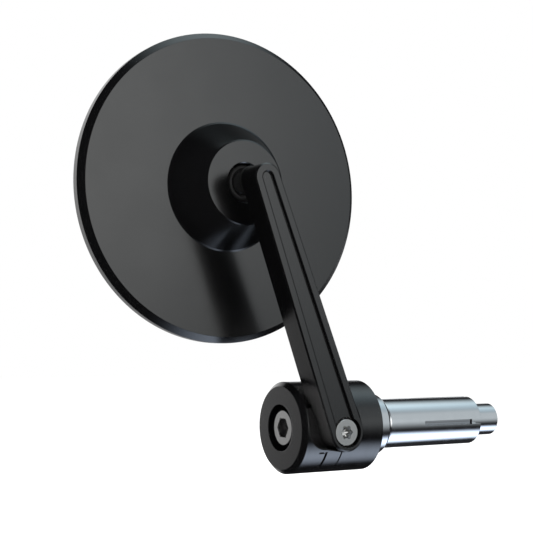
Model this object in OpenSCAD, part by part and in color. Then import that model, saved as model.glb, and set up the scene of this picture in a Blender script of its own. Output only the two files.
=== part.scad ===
// Bar end mirror: a round mirror head on a ball joint, a slim arm that tilts on a
// pivot screw in the bar end weight, and an expanding insert that grips inside the bar.
// +X runs along the bar, inwards; -Y is the back of the mirror; +Z is up.
// The origin lies on the bar axis, where the plain part of the insert begins.

/* [Bar insert] */
// Outer diameter of the slotted sleeve
sleeve_d = 14.5; // [13.5:0.1:15.5]
// Length of the plain part of the sleeve
sleeve_len = 34.4; // [30:0.2:42]
// Size of the chamfer at the sleeve's inner end
sleeve_chamfer = 0.3; // [0.1:0.05:0.5]
// Length of the tapered shoulder behind the weight
shoulder_len = 6.7; // [5:0.1:9]
// Diameter of the shoulder where it meets the weight
shoulder_d = 18.4; // [17.8:0.1:19.4]
// Diameter of the shoulder before the bevel at its end
shoulder_end_d = 17.7; // [17:0.1:17.8]
// Height of the bevel at the shoulder's end
shoulder_bevel = 0.4; // [0.2:0.05:0.6]
// Length of the short cone at the foot of the shoulder's face
foot_len = 0.9; // [0.5:0.1:1.5]
// Height of that cone above the plain sleeve
foot_h = 0.5; // [0.3:0.05:0.7]
// Diameter of the spigot that the weight turns on
spigot_d = 12; // [10.5:0.1:13]
// Length of the spigot inside the weight
spigot_len = 5; // [3:0.1:6]
// Number of slots in the sleeve
slot_count = 4; // [2:1:6]
// Width of each slot
slot_w = 1.5; // [1:0.1:2]
// Length of each slot
slot_len = 21.8; // [14:0.2:26]

/* [Expander] */
// Diameter of the plug at the wedge's end
wedge_d = 9.7; // [9.2:0.1:10.5]
// Length of the plug outside the sleeve
wedge_out_len = 8.9; // [7:0.1:12]
// Length of the plug inside the sleeve's mouth
wedge_seat_len = 1.75; // [1:0.05:3]
// Length of the short cone that spreads the mouth
cone_len = 0.55; // [0.4:0.05:1]
// Length of the slender taper ahead of the cone
taper_len = 21.5; // [14:0.5:24]
// Diameter of the slender taper where it meets the cone
taper_end_d = 8.9; // [8.5:0.1:9]
// Diameter of the slender taper at its tip
taper_tip_d = 8.2; // [7.6:0.1:8.4]

/* [Clamp bolt] */
// Diameter of the bolt shank
bolt_d = 6; // [5.5:0.1:6]
// Diameter of the bolt head
bolt_head_d = 10; // [9.5:0.1:10.5]
// Height of the bolt head
bolt_head_h = 6; // [5:0.1:6.5]
// Width across the flats of the hexagon socket
hex_af = 5; // [4:0.1:5]
// Depth of the hexagon socket
hex_depth = 3; // [2:0.1:3.5]
// Depth of the head below the outer face of the weight
head_recess = 0.9; // [0.4:0.1:2]
// Depth of the bolt's tip inside the end of the wedge
bolt_recess = 4.7; // [2:0.1:6]
// Diameter of the washer under the bolt head
washer_d = 12; // [11.5:0.1:12.5]
// Thickness of the washer under the bolt head
washer_t = 1.6; // [1:0.1:1.8]

/* [Bar end weight] */
// Diameter of the weight
weight_d = 26; // [25:0.1:28]
// Length of the weight
weight_len = 26.6; // [25:0.1:30]
// Size of the chamfer round the outer face
outer_chamfer = 1.3; // [0.6:0.1:1.6]
// Size of the chamfer round the inner face
inner_chamfer = 0.3; // [0.2:0.1:1]
// Diameter of the counterbore for the bolt head
counterbore_d = 13; // [12.8:0.1:13.4]

/* [Arm pocket] */
// Thickness of the wall left at the outer face
pocket_wall = 1.7; // [1.4:0.1:2]
// Radius of the rounded lower corner of the pocket
pocket_corner_r = 6.5; // [4:0.1:7]
// Gap between the pocket and the round end of the arm
pocket_gap = 0.3; // [0.2:0.05:0.4]
// Thickness of metal between the pocket floor and the counterbore
floor_wall = 1.1; // [0.8:0.1:1.3]
// Angle of the pocket's inner wall, where the arm stops, from upright
stop_angle = 10; // [8:0.5:14]

/* [Arm] */
// Distance between the pivot and the ball stud
arm_len = 74.3; // [66:0.1:84]
// Radius of the arm's round end at the pivot
arm_root_r = 5.35; // [5:0.05:5.6]
// Radius of the arm's round end at the ball stud
arm_tip_r = 3.95; // [3.6:0.05:4.4]
// Depth of the arm from front to back
arm_depth = 8.3; // [7.8:0.1:9]
// Size of the chamfers along the arm's edges
arm_chamfer = 0.4; // [0.2:0.05:0.6]
// Height of the arm's front face above the surface of the weight
arm_proud = 1; // [0.5:0.1:1.6]
// Lean of the arm towards the outer end, from upright
arm_lean = 20.2; // [16:0.1:24]
// Distance of the pivot from the outer face of the weight
pivot_from_face = 13.7; // [13.4:0.1:14.5]
// Drop of the pivot below the bar axis
pivot_drop = 0.9; // [0:0.1:1.5]
// Width of the flat border round the groove in the arm
groove_border = 2.2; // [1.8:0.05:2.4]
// Depth of the groove in the arm
groove_depth = 0.8; // [0.5:0.1:1.2]

/* [Pivot] */
// Diameter of the pivot screw's head
pivot_head_d = 7.5; // [7:0.1:7.7]
// Thickness of the pivot screw's head
pivot_head_h = 2.4; // [2:0.1:2.6]
// Depth of the pivot head below the front face of the arm
pivot_head_recess = 0.7; // [0.3:0.05:0.9]
// Diameter of the pivot screw's shank
pivot_d = 4; // [3.6:0.1:4]
// Depth of the star socket in the pivot head
star_depth = 1.5; // [1:0.1:1.7]
// Size of the star socket over its points
star_d = 3.8; // [3.4:0.1:4.2]
// Diameter of the counterbore in the arm
arm_counterbore_d = 8.6; // [8.4:0.1:8.8]
// Outer diameter of the bush that the arm turns on
bush_d = 6; // [5.6:0.1:6.2]
// Height of the coned washer under the pivot head
cup_h = 0.5; // [0.4:0.05:0.7]
// Thickness of the sheet that the coned washers are pressed from
cup_t = 0.3; // [0.2:0.05:0.35]
// Thickness of each plain friction washer
pad_t = 0.3; // [0.2:0.05:0.5]
// Diameter of the friction washer behind the arm
friction_d = 9.6; // [9:0.1:10]

/* [Ball joint] */
// Diameter of the ball
ball_d = 10; // [9.4:0.1:10.2]
// Distance of the ball's centre behind the front face of the boss
ball_inset = 4.5; // [4.3:0.1:4.8]
// Gap between the back of the arm and the boss
boss_gap = 4.5; // [4.2:0.1:6]
// Diameter of the stud's neck at the ball
neck_d = 4.6; // [4:0.1:4.8]
// Diameter of the stud's collar against the arm
collar_d = 8.4; // [8:0.1:8.8]
// Thickness of the stud's collar
collar_t = 1.2; // [0.8:0.1:1.4]
// Diameter of the stud's threaded end
stud_thread_d = 5; // [4:0.1:5]
// Length of the stud's threaded end
stud_thread_len = 5.2; // [4:0.1:5.6]
// Thickness of the ring that the ball turns in
seat_t = 0.95; // [0.85:0.05:1.05]
// Angle from the stud's axis to the ring's front edge
seat_front_angle = 45; // [43:1:48]
// Angle from the stud's axis to the ring's rear edge
seat_rear_angle = 82; // [76:1:83]
// Gap between the ball's centre plane and the pad behind it
pad_front_gap = 1.1; // [1:0.1:1.8]
// Thickness of the pad behind the ball
pad_floor = 1.25; // [1:0.05:1.4]

/* [Mirror head] */
// Diameter of the head
head_d = 90; // [84:0.5:100]
// Height of the head's cylindrical rim
rim_h = 2.7; // [2.4:0.1:4]
// Size of the bevel round the back of the head
head_bevel = 1.8; // [1.5:0.1:2.4]
// Diameter of the boss at its base
boss_base_d = 37; // [34:0.2:42]
// Diameter of the boss at its front face
boss_tip_d = 24; // [22:0.2:27]
// Height of the boss
boss_h = 11.2; // [10.8:0.1:13]
// Radius of the rounding at the boss's edge and foot
boss_fillet = 0.7; // [0.3:0.05:1]
// Diameter of the opening in the boss
opening_d = 11; // [10.8:0.1:11.2]
// Thickness of the rim round the glass
rim_wall = 1.6; // [1.2:0.1:2.5]

/* [Socket cover] */
// Diameter of the cover behind the ball socket
cover_d = 27; // [26:0.2:30]
// Thickness of the cover
cover_t = 1.4; // [1.2:0.1:1.5]
// Diameter of the circle that the cover screws lie on
cover_pcd = 20; // [19:0.2:21]
// Number of cover screws
cover_screw_count = 3; // [3:1:6]
// Diameter of the cover screws
cover_screw_d = 2.5; // [2:0.1:2.5]
// Length of the cover screws
cover_screw_len = 6; // [4:0.1:6.5]

/* [Mirror glass] */
// Thickness of the glass
glass_t = 2; // [1.8:0.1:2.5]
// Radius of the glass's convex curve
glass_curve_r = 1000; // [600:50:2000]
// Gap between the glass and the rim
glass_gap = 0.3; // [0.2:0.05:0.5]
// Thickness of the adhesive pad at its edge
pad_edge_t = 0.5; // [0.3:0.05:0.8]

/* [Clearances] */
// Radial clearance where one piece turns in another
run = 0.05; // [0.02:0.01:0.08]
// Radial clearance round fixed screws and seated pieces
seat = 0.1; // [0.05:0.01:0.2]

/* [Hidden] */
$fn = 96;
eps = 0.01;
film = 0.02;
reach = 60;

// Places along the bar
weight_in_x = -shoulder_len;
weight_out_x = weight_in_x - weight_len;
spigot_x = weight_in_x - spigot_len;
bevel_x = -foot_len - 1.75 * shoulder_bevel;
bolt_face_x = weight_out_x + head_recess;
bolt_seat_x = bolt_face_x + bolt_head_h;
counterbore_x = bolt_seat_x + washer_t;
plug_x = sleeve_len - wedge_seat_len;
cone_x = plug_x - cone_len;
wedge_in_x = cone_x - taper_len;
wedge_out_x = sleeve_len + wedge_out_len;
bolt_tip_x = wedge_out_x - bolt_recess;
bolt_hole_d = bolt_d + 0.6;

// Places from front to back of the arm and its pivot
weight_r = weight_d / 2;
arm_front_y = -weight_r - arm_proud;
arm_back_y = arm_front_y + arm_depth;
floor_y = -counterbore_d / 2 - floor_wall;
tongue_back_y = floor_y - pad_t;
deep_floor_y = arm_back_y + pocket_gap + 0.1;
head_seat_y = arm_front_y + pivot_head_recess + pivot_head_h;
web_front_y = head_seat_y + cup_h + pad_t;
pivot_x = weight_out_x + pivot_from_face;
pivot_tip_y = -bolt_hole_d / 2 - 0.8;

// The deep part of the pocket starts above the counterbore, and the arm's full
// depth starts just above that when the arm leans as far out as it can
pocket_r = arm_root_r + pocket_gap;
pocket_left = pivot_from_face - pocket_wall;
deep_z = sqrt(pow(counterbore_d / 2 + floor_wall, 2) - pow(deep_floor_y, 2)) + pivot_drop + 0.3;
// The arm leans out until its edge reaches the pocket's outer wall
lean_z = sqrt(pow(weight_r, 2) - pow(arm_back_y, 2)) + pivot_drop;
lean_max = acos(pocket_r / norm([pocket_left, lean_z])) - atan2(lean_z, pocket_left);
tongue_len = (deep_z + pocket_gap + arm_root_r * sin(lean_max)) / cos(lean_max);

// The head stands behind the arm, with the ball on the axis of the arm's upper end
ball_r = ball_d / 2;
boss_front_y = arm_back_y + boss_gap;
ball_y = boss_front_y + ball_inset;
head_y = boss_front_y + boss_h + head_bevel;
ball_x = pivot_x - arm_len * sin(arm_lean);
ball_z = -pivot_drop + arm_len * cos(arm_lean);
boss_front_a = head_bevel + boss_h;
ball_a = boss_front_a - ball_inset;
head_r = head_d / 2;
seat_in_r = ball_r + run;
seat_out_r = seat_in_r + seat_t;
socket_r = seat_out_r + run * 2;
pad_r = socket_r - run;
pad_back_a = ball_a - seat_in_r - pad_floor;
recess_r = head_r - rim_wall;
glass_r = recess_r - glass_gap;

// A child drawn along +Z is laid along +X, starting at x
module along_bar(x) {
  translate([x, 0, 0]) rotate([0, 90, 0]) children();
}

// A child drawn in the XY plane stands upright in the XZ plane at y, and its +Z runs to the front
module facing_front(y) {
  translate([0, y, 0]) rotate([90, 0, 0]) children();
}

module at_pivot() {
  translate([pivot_x, 0, -pivot_drop]) children();
}

module at_arm() {
  at_pivot() rotate([0, -arm_lean, 0]) children();
}

module at_head() {
  translate([ball_x, 0, ball_z]) facing_front(head_y) children();
}

module ring(outer_r, inner_r, height) {
  difference() {
    cylinder(r = outer_r, h = height);
    translate([0, 0, -eps]) cylinder(r = inner_r, h = height + 2 * eps);
  }
}

// A washer pressed to a shallow cone, standing on its wide edge
module coned_washer(outer_r, inner_r, height, sheet) {
  rotate_extrude() polygon([
    [outer_r, 0], [outer_r, sheet], [inner_r, height], [inner_r, height - sheet]
  ]);
}

function arc(cx, cy, r, from, to, steps) =
  [for (i = [0 : steps]) let (t = from + (to - from) * i / steps) [cx + r * cos(t), cy + r * sin(t)]];

// Outline of two circles joined by their common tangents
function tangent_quad(r0, r1, len) =
  let (k = (r0 - r1) / len, c = sqrt(1 - k * k))
  [[-r0 * c, r0 * k], [r0 * c, r0 * k], [r1 * c, len + r1 * k], [-r1 * c, len + r1 * k]];

module chamfered_disc(r, height, chamfer) {
  rotate_extrude() polygon([
    [0, 0], [r - chamfer, 0], [r, chamfer], [r, height - chamfer], [r - chamfer, height], [0, height]
  ]);
}

module chamfered_bar(r0, r1, len, height, chamfer) {
  hull() {
    chamfered_disc(r0, height, chamfer);
    translate([0, len, 0]) chamfered_disc(r1, height, chamfer);
  }
}

module plain_bar(r0, r1, len, height) {
  linear_extrude(height) {
    circle(r = r0);
    translate([0, len]) circle(r = r1);
    polygon(tangent_quad(r0, r1, len));
  }
}

// Turned sleeve with a tapered shoulder, a spigot for the weight and a split bore for the wedge
module insert_sleeve() {
  color("silver")
  difference() {
    along_bar(0) rotate([0, 0, 180 / slot_count]) rotate_extrude() polygon([
      [0, spigot_x], [spigot_d / 2, spigot_x], [spigot_d / 2, weight_in_x],
      [shoulder_d / 2, weight_in_x], [shoulder_end_d / 2, bevel_x],
      [shoulder_end_d / 2 - shoulder_bevel, -foot_len], [sleeve_d / 2 + foot_h, -foot_len],
      [sleeve_d / 2, 0], [sleeve_d / 2, sleeve_len - sleeve_chamfer],
      [sleeve_d / 2 - sleeve_chamfer, sleeve_len], [0, sleeve_len]
    ]);
    along_bar(spigot_x - eps) cylinder(d = bolt_hole_d, h = sleeve_len - spigot_x + 2 * eps);
    along_bar(0) rotate_extrude() polygon([
      [0, wedge_in_x - seat * 2], [taper_tip_d / 2 + run, wedge_in_x - seat * 2],
      [taper_end_d / 2 + run, cone_x], [wedge_d / 2 + run, plug_x],
      [wedge_d / 2 + run, sleeve_len + 1], [0, sleeve_len + 1]
    ]);
    for (i = [0 : slot_count - 1])
      rotate([i * 360 / slot_count, 0, 0])
        translate([sleeve_len - slot_len, -sleeve_d, -slot_w / 2])
          cube([slot_len + 1, sleeve_d, slot_w]);
  }
}

// Long nut that spreads the sleeve: a slender taper, a short cone and a plug
module expander_wedge() {
  color("gainsboro")
  difference() {
    along_bar(0) rotate_extrude() polygon([
      [0, wedge_in_x], [taper_tip_d / 2, wedge_in_x], [taper_end_d / 2, cone_x],
      [wedge_d / 2, plug_x], [wedge_d / 2, wedge_out_x - 0.4],
      [wedge_d / 2 - 0.4, wedge_out_x], [0, wedge_out_x]
    ]);
    along_bar(wedge_in_x - 1) cylinder(r = bolt_d / 2 + run, h = wedge_out_x - wedge_in_x + 2);
  }
}

module chamfered_end(r, height, chamfer) {
  cylinder(r = r, h = height - chamfer);
  translate([0, 0, height - chamfer]) cylinder(r1 = r, r2 = r - chamfer, h = chamfer);
}

module clamp_bolt() {
  color("silver")
  difference() {
    union() {
      along_bar(bolt_face_x) rotate_extrude() polygon([
        [0, 0], [bolt_head_d / 2 - 0.5, 0], [bolt_head_d / 2, 0.4], [bolt_head_d / 2, bolt_head_h], [0, bolt_head_h]
      ]);
      along_bar(bolt_seat_x - eps) chamfered_end(bolt_d / 2, bolt_tip_x - bolt_seat_x + eps, 0.6);
    }
    along_bar(bolt_face_x - eps) rotate([0, 0, 30]) cylinder(d = hex_af / cos(30), h = hex_depth, $fn = 6);
  }
}

module clamp_washer() {
  color("silver")
  along_bar(bolt_seat_x) ring(washer_d / 2, bolt_d / 2 + 0.2, washer_t);
}

// Pocket outline seen from the front, with the pivot at its origin
module pocket_outline() {
  wall_x = pocket_r * cos(stop_angle);
  wall_y = pocket_r * sin(stop_angle);
  circle(r = pocket_r);
  translate([-pocket_left + pocket_corner_r, -pocket_r + pocket_corner_r]) circle(r = pocket_corner_r);
  polygon([
    [0, -pocket_r], [0, 0], [wall_x, wall_y],
    [wall_x - weight_d * sin(stop_angle), wall_y + weight_d * cos(stop_angle)],
    [-pocket_left, weight_d], [-pocket_left, -pocket_r + pocket_corner_r],
    [-pocket_left + pocket_corner_r, -pocket_r + pocket_corner_r],
    [-pocket_left + pocket_corner_r, -pocket_r]
  ]);
}

// Solid weight, turned, with a stepped pocket milled in for the arm
module bar_end_weight() {
  color([0.13, 0.13, 0.14])
  difference() {
    along_bar(weight_out_x) rotate_extrude() polygon([
      [0, 0], [weight_r - outer_chamfer, 0], [weight_r, outer_chamfer],
      [weight_r, weight_len - inner_chamfer], [weight_r - inner_chamfer, weight_len], [0, weight_len]
    ]);
    along_bar(weight_out_x - 1) cylinder(d = bolt_hole_d, h = weight_len + 2);
    along_bar(weight_out_x - 1) cylinder(d = counterbore_d, h = counterbore_x - weight_out_x + 1);
    along_bar(spigot_x - 2 * seat) cylinder(r = spigot_d / 2 + run, h = spigot_len + 1);
    at_pivot() {
      facing_front(floor_y) linear_extrude(weight_d) pocket_outline();
      facing_front(deep_floor_y) linear_extrude(weight_d) intersection() {
        pocket_outline();
        translate([-reach, deep_z]) square([2 * reach, reach]);
      }
      facing_front(pivot_tip_y + 0.2) cylinder(r = pivot_d / 2 + run, h = weight_d);
    }
  }
}

// Six lobed star outline
module star(size) {
  polygon([for (i = [0 : 71]) let (t = i * 5, r = size / 2 * (0.86 + 0.14 * cos(6 * t))) [r * cos(t), r * sin(t)]]);
}

module pivot_screw() {
  color("silver")
  at_pivot() difference() {
    union() {
      facing_front(head_seat_y) rotate_extrude() polygon([
        [0, 0], [pivot_head_d / 2, 0], [pivot_head_d / 2, pivot_head_h - 0.4],
        [pivot_head_d / 2 - 0.4, pivot_head_h], [0, pivot_head_h]
      ]);
      facing_front(pivot_tip_y) cylinder(d = pivot_d, h = pivot_tip_y - head_seat_y + eps);
    }
    facing_front(arm_front_y + pivot_head_recess + star_depth) linear_extrude(star_depth + 1) star(star_d);
  }
}

module pivot_bush() {
  color("goldenrod")
  at_pivot() facing_front(floor_y) ring(bush_d / 2, pivot_d / 2 + run, floor_y - head_seat_y);
}

module cup_washer() {
  color("silver")
  at_pivot() facing_front(head_seat_y + cup_h)
    coned_washer(pivot_head_d / 2 + 0.2, bush_d / 2 + seat, cup_h, cup_t);
}

module thrust_washer() {
  color("ivory")
  at_pivot() facing_front(web_front_y) ring(arm_counterbore_d / 2 - seat, bush_d / 2 + seat, pad_t);
}

module friction_washer() {
  color("ivory")
  at_pivot() facing_front(floor_y) ring(friction_d / 2, bush_d / 2 + seat, pad_t);
}

// Slim arm with a shallow groove, a thinner tongue in the pocket and a blind hole for the stud
module mirror_arm() {
  groove_r0 = arm_root_r - groove_border;
  groove_r1 = arm_tip_r - groove_border;
  color([0.16, 0.16, 0.17])
  at_arm() difference() {
    facing_front(arm_back_y) chamfered_bar(arm_root_r, arm_tip_r, arm_len, arm_depth, arm_chamfer);
    facing_front(arm_front_y + groove_depth) plain_bar(groove_r0, groove_r1, arm_len, groove_depth + 1);
    facing_front(web_front_y) cylinder(d = arm_counterbore_d, h = weight_d);
    facing_front(arm_back_y + 1) cylinder(r = bush_d / 2 + run, h = weight_d);
    translate([-reach / 2, tongue_back_y, -reach / 2]) cube([reach, arm_depth, reach / 2 + tongue_len]);
    translate([0, 0, arm_len]) facing_front(arm_back_y + 1)
      cylinder(r = stud_thread_d / 2 + seat / 5, h = stud_thread_len + 1.3);
  }
}

// Ball stud: threaded end in the arm, collar with two flats, waisted neck and ball
module ball_stud() {
  collar_a = arm_back_y - ball_y;
  neck_r = neck_d / 2;
  color("dimgray")
  at_arm() translate([0, ball_y, arm_len]) rotate([-90, 0, 0]) {
    difference() {
      rotate_extrude() polygon(concat(
        [[0, collar_a - stud_thread_len], [stud_thread_d / 2 - 0.5, collar_a - stud_thread_len],
         [stud_thread_d / 2, collar_a - stud_thread_len + 0.5], [stud_thread_d / 2, collar_a],
         [collar_d / 2, collar_a], [collar_d / 2, collar_a + collar_t],
         [neck_r + 0.9, collar_a + collar_t], [neck_r, collar_a + collar_t + 1.6]],
        arc(0, 0, ball_r, -acos(neck_r / ball_r), 90, 40)));
      for (side = [-1, 1])
        translate([-reach / 2, side * (collar_d / 2 - 0.5) + (side - 1) / 2 * 5, collar_a])
          cube([reach, 5, collar_t]);
    }
  }
}

// Ring shaped as a zone of a hollow sphere, in front of the ball
module ball_seat_ring() {
  color([0.1, 0.1, 0.1])
  translate([ball_x, ball_y, ball_z]) rotate([90, 0, 0]) rotate_extrude() polygon(concat(
    arc(0, 0, seat_out_r, 90 - seat_rear_angle, 90 - seat_front_angle, 16),
    arc(0, 0, seat_in_r, 90 - seat_front_angle, 90 - seat_rear_angle, 16)));
}

// Cup behind the ball, pushed forwards by the coned washer
module ball_pad() {
  front = -pad_front_gap;
  edge_angle = -asin(pad_front_gap / seat_in_r);
  back = -seat_in_r - pad_floor;
  color([0.85, 0.85, 0.82])
  translate([ball_x, ball_y, ball_z]) rotate([90, 0, 0]) rotate_extrude() polygon(concat(
    [[0, back], [pad_r, back], [pad_r, front]],
    arc(0, 0, seat_in_r, edge_angle, -90, 20)));
}

module preload_washer() {
  color("silver")
  at_head() translate([0, 0, cover_t]) coned_washer(pad_r - 0.3, 2.2, pad_back_a - cover_t, cup_t);
}

function cover_screw_angle(i) = 90 + i * 360 / cover_screw_count;

module socket_cover() {
  color("silver")
  at_head() difference() {
    cylinder(r = cover_d / 2 - seat, h = cover_t);
    for (i = [0 : cover_screw_count - 1])
      rotate([0, 0, cover_screw_angle(i)]) translate([cover_pcd / 2, 0, 0]) {
        translate([0, 0, -eps]) cylinder(r = cover_screw_d / 2 + seat, h = cover_t + 1);
        translate([0, 0, -eps]) cylinder(r1 = cover_screw_d + eps, r2 = cover_screw_d / 2, h = cover_screw_d / 2 + eps);
      }
  }
}

// Countersunk screws with cross slots, lying flush with the cover
module cover_screws() {
  color("darkgray")
  at_head() for (i = [0 : cover_screw_count - 1])
    rotate([0, 0, cover_screw_angle(i)]) translate([cover_pcd / 2, 0, 0]) difference() {
      union() {
        cylinder(r1 = cover_screw_d - seat, r2 = cover_screw_d / 2 - seat, h = cover_screw_d / 2);
        cylinder(r = cover_screw_d / 2 - run, h = cover_screw_len);
      }
      for (turn = [0, 90])
        rotate([0, 0, turn]) translate([-1.1, -0.25, -eps]) cube([2.2, 0.5, 0.8]);
    }
}

// Dished disc with a tapered boss on its back, a recess for the glass and the ball socket inside
module mirror_housing() {
  tip_r = boss_tip_d / 2;
  base_r = boss_base_d / 2;
  slope = atan((base_r - tip_r) / boss_h);
  opening_r = opening_d / 2;
  turn = tan((90 - slope) / 2) * boss_fillet;
  color([0.14, 0.14, 0.15])
  at_head() difference() {
    rotate_extrude() polygon(concat(
      [[0, 0], [recess_r, 0], [recess_r, -rim_h], [head_r - 0.3, -rim_h], [head_r, -rim_h + 0.3],
       [head_r, 0], [head_r - head_bevel, head_bevel]],
      arc(base_r + turn, head_bevel + boss_fillet, boss_fillet, 270, 180 + slope, 6),
      arc(tip_r - turn, boss_front_a - boss_fillet, boss_fillet, slope, 90, 6),
      [[0, boss_front_a]]));
    rotate_extrude() polygon(concat(
      [[0, -1], [socket_r, -1], [socket_r, ball_a]],
      arc(0, ball_a, socket_r, 0, acos(opening_r / socket_r), 20),
      [[opening_r, boss_front_a - 0.3], [opening_r + 0.3, boss_front_a],
       [opening_r + 0.3, boss_front_a + 1], [0, boss_front_a + 1]]));
    translate([0, 0, -1]) cylinder(r = cover_d / 2, h = cover_t + 1);
    for (i = [0 : cover_screw_count - 1])
      rotate([0, 0, cover_screw_angle(i)]) translate([cover_pcd / 2, 0, 0])
        cylinder(r = cover_screw_d / 2, h = cover_screw_len + 0.3);
  }
}

// Height of the convex curve above its edge
function bulge(r) = sqrt(pow(glass_curve_r, 2) - pow(r, 2)) - sqrt(pow(glass_curve_r, 2) - pow(glass_r, 2));
function dome(edge_r, top, steps) =
  [for (i = [0 : steps]) let (r = edge_r * i / steps) [r, -top - bulge(r)]];
function reversed(list) = [for (i = [len(list) - 1 : -1 : 0]) list[i]];

// Adhesive pad, flat on the housing and domed to the glass
module glass_pad() {
  pad_edge_r = glass_r - 0.4;
  color("black")
  at_head() rotate_extrude() polygon(concat(
    [[0, 0]],
    dome(pad_edge_r, pad_edge_t - film, 12),
    [[pad_edge_r, 0]]));
}

// Bent sheet of mirror glass
module mirror_glass() {
  color("lightsteelblue")
  at_head() rotate_extrude() polygon(concat(
    dome(glass_r, pad_edge_t, 12),
    reversed(dome(glass_r, pad_edge_t + glass_t, 12))));
}

insert_sleeve();
expander_wedge();
clamp_bolt();
clamp_washer();
bar_end_weight();
pivot_screw();
pivot_bush();
cup_washer();
thrust_washer();
friction_washer();
mirror_arm();
ball_stud();
ball_seat_ring();
ball_pad();
preload_washer();
socket_cover();
cover_screws();
mirror_housing();
glass_pad();
mirror_glass();
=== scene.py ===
import math

import bmesh
import bpy
from mathutils import Matrix, Vector


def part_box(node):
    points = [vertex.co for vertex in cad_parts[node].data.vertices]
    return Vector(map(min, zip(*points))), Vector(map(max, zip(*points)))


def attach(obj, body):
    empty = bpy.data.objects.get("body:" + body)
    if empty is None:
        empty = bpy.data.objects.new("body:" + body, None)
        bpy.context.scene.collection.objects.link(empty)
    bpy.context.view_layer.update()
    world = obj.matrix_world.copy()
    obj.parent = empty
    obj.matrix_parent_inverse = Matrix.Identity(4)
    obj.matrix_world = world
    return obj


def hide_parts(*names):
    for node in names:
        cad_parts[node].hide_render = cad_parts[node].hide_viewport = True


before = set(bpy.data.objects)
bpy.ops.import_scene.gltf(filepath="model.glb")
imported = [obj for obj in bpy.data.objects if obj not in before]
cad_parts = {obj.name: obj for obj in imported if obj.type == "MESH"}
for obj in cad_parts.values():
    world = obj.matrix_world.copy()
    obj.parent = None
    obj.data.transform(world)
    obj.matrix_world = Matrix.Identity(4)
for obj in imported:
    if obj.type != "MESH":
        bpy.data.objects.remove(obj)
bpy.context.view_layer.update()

# The mirror is dressed piece by piece, all sizes in millimetres:
# X runs along the bar inwards, -Y is the back of the mirror, Z is up.
print("frame loaded:", len(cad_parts), "nodes")


def span(node):
    low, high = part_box(node)
    return low * 1000, high * 1000


def middle(node):
    low, high = span(node)
    return (low + high) / 2


# Mesh helpers

toMetres = Matrix.Scale(0.001, 4)


def upright(x, y, z):
    # local XY is the XZ plane of the mirror, local +Z runs to the front
    return toMetres @ Matrix.Translation((x, y, z)) @ Matrix.Rotation(math.radians(90), 4, "X")


def alongBar(x):
    # local +Z runs along the bar, inwards
    return toMetres @ Matrix.Translation((x, 0, 0)) @ Matrix.Rotation(math.radians(90), 4, "Y")


def circleRing(radius, height, points):
    if radius < 1e-6:
        return [(0, 0, height)]
    turns = [2 * math.pi * i / points for i in range(points)]
    return [(radius * math.cos(t), radius * math.sin(t), height) for t in turns]


def arcPoints(x, y, radius, start, end, steps):
    # a round stretch of a profile, with angles in degrees; the 0 leaves its corners as they are
    turns = [math.radians(start + (end - start) * k / steps) for k in range(steps + 1)]
    return [(x + radius * math.cos(t), y + radius * math.sin(t), 0) for t in turns]


def softCorners(corners, edge, steps, loop, guard=0.05):
    # rounds the corners of a profile; a guard point on each side keeps the flats flat
    made = []
    count = len(corners)
    for i, corner in enumerate(corners):
        here = Vector(corner[:2])
        size = corner[2] if len(corner) > 2 else edge
        if size == 0 or (not loop and i in (0, count - 1)):
            made.append(here)
            continue
        before, after = Vector(corners[i - 1][:2]) - here, Vector(corners[(i + 1) % count][:2]) - here
        # a rounding takes at most this share of a side, so that two of them never meet
        share = 0.42
        reach = min(size / math.tan(before.angle(after) / 2), before.length * share, after.length * share)
        a, b = here + before.normalized() * reach, here + after.normalized() * reach
        made.append(a + before.normalized() * min(guard, before.length * 0.05))
        for k in range(steps + 1):
            u = k / steps
            made.append(a * (1 - u) ** 2 + here * 2 * u * (1 - u) + b * u ** 2)
        made.append(b + after.normalized() * min(guard, after.length * 0.05))
    return [(p.x, p.y) for p in made]


def meshObject(name, bm):
    bmesh.ops.recalc_face_normals(bm, faces=bm.faces)
    mesh = bpy.data.meshes.new(name)
    bm.to_mesh(mesh)
    bm.free()
    piece = bpy.data.objects.new(name, mesh)
    bpy.context.scene.collection.objects.link(piece)
    return piece


def skinRings(name, rings, place, loop=False):
    # joins a row of rings with the same number of points; a ring of one point closes an end,
    # open ends get a flat cap, and a loop joins the last ring to the first
    bm = bmesh.new()
    rows = [[bm.verts.new(place @ Vector(p)) for p in ring] for ring in rings]
    pairs = list(zip(rows, rows[1:] + rows[:1])) if loop else list(zip(rows, rows[1:]))
    for a, b in pairs:
        count = max(len(a), len(b))
        for i in range(count):
            j = (i + 1) % count
            corners = [a[i % len(a)], a[j % len(a)], b[j % len(b)], b[i % len(b)]]
            corners = [v for k, v in enumerate(corners) if v not in corners[:k]]
            if len(corners) > 2:
                bm.faces.new(corners)
    if not loop:
        for row in (rows[0], rows[-1]):
            if len(row) > 2:
                bm.faces.new(row)
    return meshObject(name, bm)


def turned(name, corners, place, edge=0.1, points=160, steps=3, loop=False):
    # a turned solid from half its profile; a loop leaves a bore through the middle
    profile = softCorners(corners, edge, steps, loop)
    return skinRings(name, [circleRing(r, h, points) for r, h in profile], place, loop)


def blockAt(name, place, size, shift):
    bm = bmesh.new()
    bmesh.ops.create_cube(bm, size=1)
    bm.transform(place @ Matrix.Translation(shift) @ Matrix.Diagonal((*size, 1)))
    return meshObject(name, bm)


def settle(piece):
    # applies what is on the piece and leaves one plain mesh
    bpy.context.view_layer.update()
    solid = piece.evaluated_get(bpy.context.evaluated_depsgraph_get())
    mesh = bpy.data.meshes.new_from_object(solid)
    piece.modifiers.clear()
    piece.data = mesh
    return piece


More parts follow.
